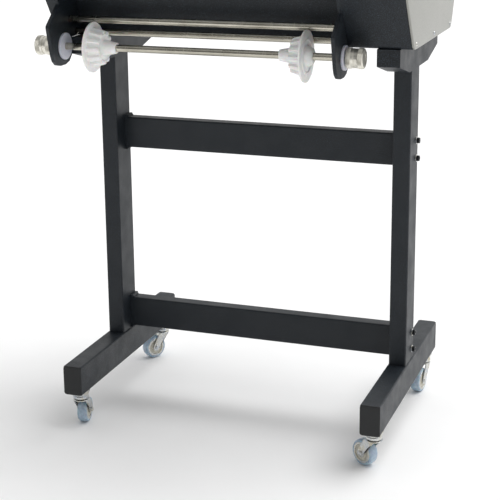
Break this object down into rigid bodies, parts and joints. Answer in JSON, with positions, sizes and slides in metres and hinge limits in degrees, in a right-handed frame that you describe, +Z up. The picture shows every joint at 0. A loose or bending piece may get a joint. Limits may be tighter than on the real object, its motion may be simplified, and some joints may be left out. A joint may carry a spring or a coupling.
{
  "type": "cold roll laminator",
  "caption": "Wheeled-stand cold roll laminator: driven lower roller, lifting upper roller, tilting feed table, film supply and take-up shafts with sliding core chucks.",
  "frame": {"origin": "on the floor, under the middle of the overall width and of the feet's length", "axes": "+X to the machine's right (drive side), +Y to its back (outfeed), +Z up"},
  "size_m": [0.8556, 0.572, 1.2612],
  "materials": {
    "black_plastic": "moulded, satin",
    "champagne_knob": "champagne anodised, knurled",
    "grey_panel": "light warm grey, satin",
    "polished_steel": "polished bright steel",
    "polyurethane": "translucent blue-grey polyurethane",
    "powder_coat": "fine textured black powder coat",
    "red_plastic": "moulded red",
    "satin_aluminium": "satin anodised",
    "silicone_rubber": "ground silicone rubber",
    "white_plastic": "moulded white nylon",
    "zinc": "bright zinc plate"
  },
  "bodies": {
    "frame": {"belly_pan": "powder_coat", "control_panel": "black_plastic", "drive_housing": "powder_coat", "gear_motor": "black_plastic", "left_end_cover": "powder_coat", "left_foot": "powder_coat", "left_foot_front_cap": "black_plastic", "left_foot_rear_cap": "black_plastic", "left_front_caster_mount": "zinc", "left_rear_caster_mount": "zinc", "left_side_plate": "powder_coat", "left_top_arm": "powder_coat", "left_upright": "powder_coat", "lower_crossbar": "powder_coat", "lower_crossbar_bottom_bolt": "zinc", "lower_crossbar_top_bolt": "zinc", "lower_guide_bar": "polished_steel", "power_inlet": "black_plastic", "right_end_panel": "grey_panel", "right_foot": "powder_coat", "right_foot_front_cap": "black_plastic", "right_foot_rear_cap": "black_plastic", "right_front_caster_mount": "zinc", "right_rear_caster_mount": "zinc", "right_side_plate": "powder_coat", "right_top_arm": "powder_coat", "right_upright": "powder_coat", "upper_crossbar": "powder_coat", "upper_crossbar_bottom_bolt": "zinc", "upper_crossbar_top_bolt": "zinc", "upper_guide_bar": "polished_steel"},
    "left_front_fork": {"left_front_caster_fork": "zinc"},
    "left_front_wheel": {"left_front_caster_wheel": "polyurethane"},
    "right_front_fork": {"right_front_caster_fork": "zinc"},
    "right_front_wheel": {"right_front_caster_wheel": "polyurethane"},
    "left_rear_fork": {"left_rear_caster_fork": "zinc"},
    "left_rear_wheel": {"left_rear_caster_wheel": "polyurethane"},
    "right_rear_fork": {"right_rear_caster_fork": "zinc"},
    "right_rear_wheel": {"right_rear_caster_wheel": "polyurethane"},
    "film_shaft": {"lower_film_shaft": "polished_steel"},
    "left_lower_chuck": {"left_lower_chuck": "white_plastic"},
    "right_lower_chuck": {"right_lower_chuck": "white_plastic"},
    "left_tension_knob": {"left_tension_knob": "champagne_knob"},
    "right_tension_knob": {"right_tension_knob": "champagne_knob"},
    "supply_shaft": {"supply_shaft": "polished_steel"},
    "left_supply_chuck": {"left_supply_chuck": "white_plastic"},
    "right_supply_chuck": {"right_supply_chuck": "white_plastic"},
    "lower_roller": {"lower_roller": "silicone_rubber", "roller_gear": "zinc"},
    "pinion": {"drive_pinion": "zinc"},
    "roller_carriage": {"left_bearing_block": "zinc", "right_bearing_block": "zinc"},
    "upper_roller": {"upper_roller": "silicone_rubber"},
    "left_pressure_wheel": {"left_pressure_wheel": "black_plastic"},
    "right_pressure_wheel": {"right_pressure_wheel": "black_plastic"},
    "feed_table": {"feed_table": "satin_aluminium"},
    "speed_knob": {"speed_knob": "black_plastic"},
    "emergency_stop": {"emergency_stop": "red_plastic"},
    "direction_switch": {"direction_switch": "black_plastic"},
    "main_switch": {"main_switch": "black_plastic"}
  },
  "joints": [
    {"name": "left_front_swivel", "type": "hinge", "parent": "frame", "child": "left_front_fork", "pos_m": [-0.3367, -0.244, 0], "axis": [0, 0, 1], "continuous": true},
    {"name": "left_front_wheel_spin", "type": "hinge", "parent": "left_front_fork", "child": "left_front_wheel", "pos_m": [-0.34139, -0.21741, 0.03], "axis": [0.9848, 0.1736, 0], "continuous": true},
    {"name": "right_front_swivel", "type": "hinge", "parent": "frame", "child": "right_front_fork", "pos_m": [0.3733, -0.244, 0], "axis": [0, 0, 1], "continuous": true},
    {"name": "right_front_wheel_spin", "type": "hinge", "parent": "right_front_fork", "child": "right_front_wheel", "pos_m": [0.34992, -0.2305, 0.03], "axis": [0.5, 0.866, 0], "continuous": true},
    {"name": "left_rear_swivel", "type": "hinge", "parent": "frame", "child": "left_rear_fork", "pos_m": [-0.3367, 0.244, 0], "axis": [0, 0, 1], "continuous": true},
    {"name": "left_rear_wheel_spin", "type": "hinge", "parent": "left_rear_fork", "child": "left_rear_wheel", "pos_m": [-0.35219, 0.22188, 0.03], "axis": [-0.8192, 0.5736, 0], "continuous": true},
    {"name": "right_rear_swivel", "type": "hinge", "parent": "frame", "child": "right_rear_fork", "pos_m": [0.3733, 0.244, 0], "axis": [0, 0, 1], "continuous": true},
    {"name": "right_rear_wheel_spin", "type": "hinge", "parent": "right_rear_fork", "child": "right_rear_wheel", "pos_m": [0.36954, 0.21726, 0.03], "axis": [-0.9903, 0.1392, 0], "continuous": true},
    {"name": "film_shaft_spin", "type": "hinge", "parent": "frame", "child": "film_shaft", "pos_m": [0.0183, -0.2035, 0.8969], "axis": [1, 0, 0], "continuous": true},
    {"name": "left_lower_chuck_slide", "type": "slide", "parent": "film_shaft", "child": "left_lower_chuck", "axis": [1, 0, 0], "range_m": [-0.017, 0.24]},
    {"name": "right_lower_chuck_slide", "type": "slide", "parent": "film_shaft", "child": "right_lower_chuck", "axis": [1, 0, 0], "range_m": [-0.11, 0.04]},
    {"name": "left_tension_turn", "type": "hinge", "parent": "film_shaft", "child": "left_tension_knob", "pos_m": [0.0183, -0.2035, 0.8969], "axis": [1, 0, 0], "range_deg": [-360, 360]},
    {"name": "right_tension_turn", "type": "hinge", "parent": "film_shaft", "child": "right_tension_knob", "pos_m": [0.0183, -0.2035, 0.8969], "axis": [1, 0, 0], "range_deg": [-360, 360]},
    {"name": "supply_shaft_spin", "type": "hinge", "parent": "frame", "child": "supply_shaft", "pos_m": [0.0183, 0.12, 1.2049], "axis": [1, 0, 0], "continuous": true},
    {"name": "left_supply_chuck_slide", "type": "slide", "parent": "supply_shaft", "child": "left_supply_chuck", "axis": [1, 0, 0], "range_m": [-0.04, 0.24]},
    {"name": "right_supply_chuck_slide", "type": "slide", "parent": "supply_shaft", "child": "right_supply_chuck", "axis": [1, 0, 0], "range_m": [-0.11, 0.05]},
    {"name": "lower_roller_spin", "type": "hinge", "parent": "frame", "child": "lower_roller", "pos_m": [0.0183, 0.02, 1.04165], "axis": [1, 0, 0], "continuous": true},
    {"name": "pinion_spin", "type": "hinge", "parent": "frame", "child": "pinion", "pos_m": [0.0183, 0.08343, 1.01856], "axis": [1, 0, 0], "continuous": true},
    {"name": "roller_lift", "type": "slide", "parent": "frame", "child": "roller_carriage", "axis": [0, 0, 1], "range_m": [0, 0.02]},
    {"name": "upper_roller_spin", "type": "hinge", "parent": "roller_carriage", "child": "upper_roller", "pos_m": [0.0183, 0.02, 1.10215], "axis": [1, 0, 0], "continuous": true},
    {"name": "left_pressure_turn", "type": "hinge", "parent": "frame", "child": "left_pressure_wheel", "pos_m": [-0.3792, 0.02, 0], "axis": [0, 0, 1], "range_deg": [0, 1440]},
    {"name": "right_pressure_turn", "type": "hinge", "parent": "frame", "child": "right_pressure_wheel", "pos_m": [0.2948, 0.02, 0], "axis": [0, 0, 1], "range_deg": [0, 1440]},
    {"name": "feed_table_tilt", "type": "hinge", "parent": "frame", "child": "feed_table", "pos_m": [0.0183, -0.25, 1.0619], "axis": [1, 0, 0], "range_deg": [0, 100]},
    {"name": "speed_turn", "type": "hinge", "parent": "frame", "child": "speed_knob", "pos_m": [0.3308, -0.20551, 1.19658], "axis": [0, 0.7568, -0.6536], "range_deg": [0, 270]},
    {"name": "emergency_stop_press", "type": "slide", "parent": "frame", "child": "emergency_stop", "axis": [0, 0.7568, -0.6536], "range_m": [0, 0.005]},
    {"name": "direction_rock", "type": "hinge", "parent": "frame", "child": "direction_switch", "pos_m": [0.3568, -0.24135, 1.15354], "axis": [1, 0, 0], "range_deg": [-9, 9]},
    {"name": "power_rock", "type": "hinge", "parent": "frame", "child": "main_switch", "pos_m": [0.3865, 0.273, 1.0869], "axis": [1, 0, 0], "range_deg": [0, 16]}
  ],
  "couplings": [
    {"joint": "upper_roller_spin", "follows": "lower_roller_spin", "ratio": -1},
    {"joint": "pinion_spin", "follows": "lower_roller_spin", "ratio": -2},
    {"joint": "left_pressure_turn", "follows": "roller_lift", "rad_per_m": 1256.6},
    {"joint": "right_pressure_turn", "follows": "roller_lift", "rad_per_m": 1256.6}
  ]
}
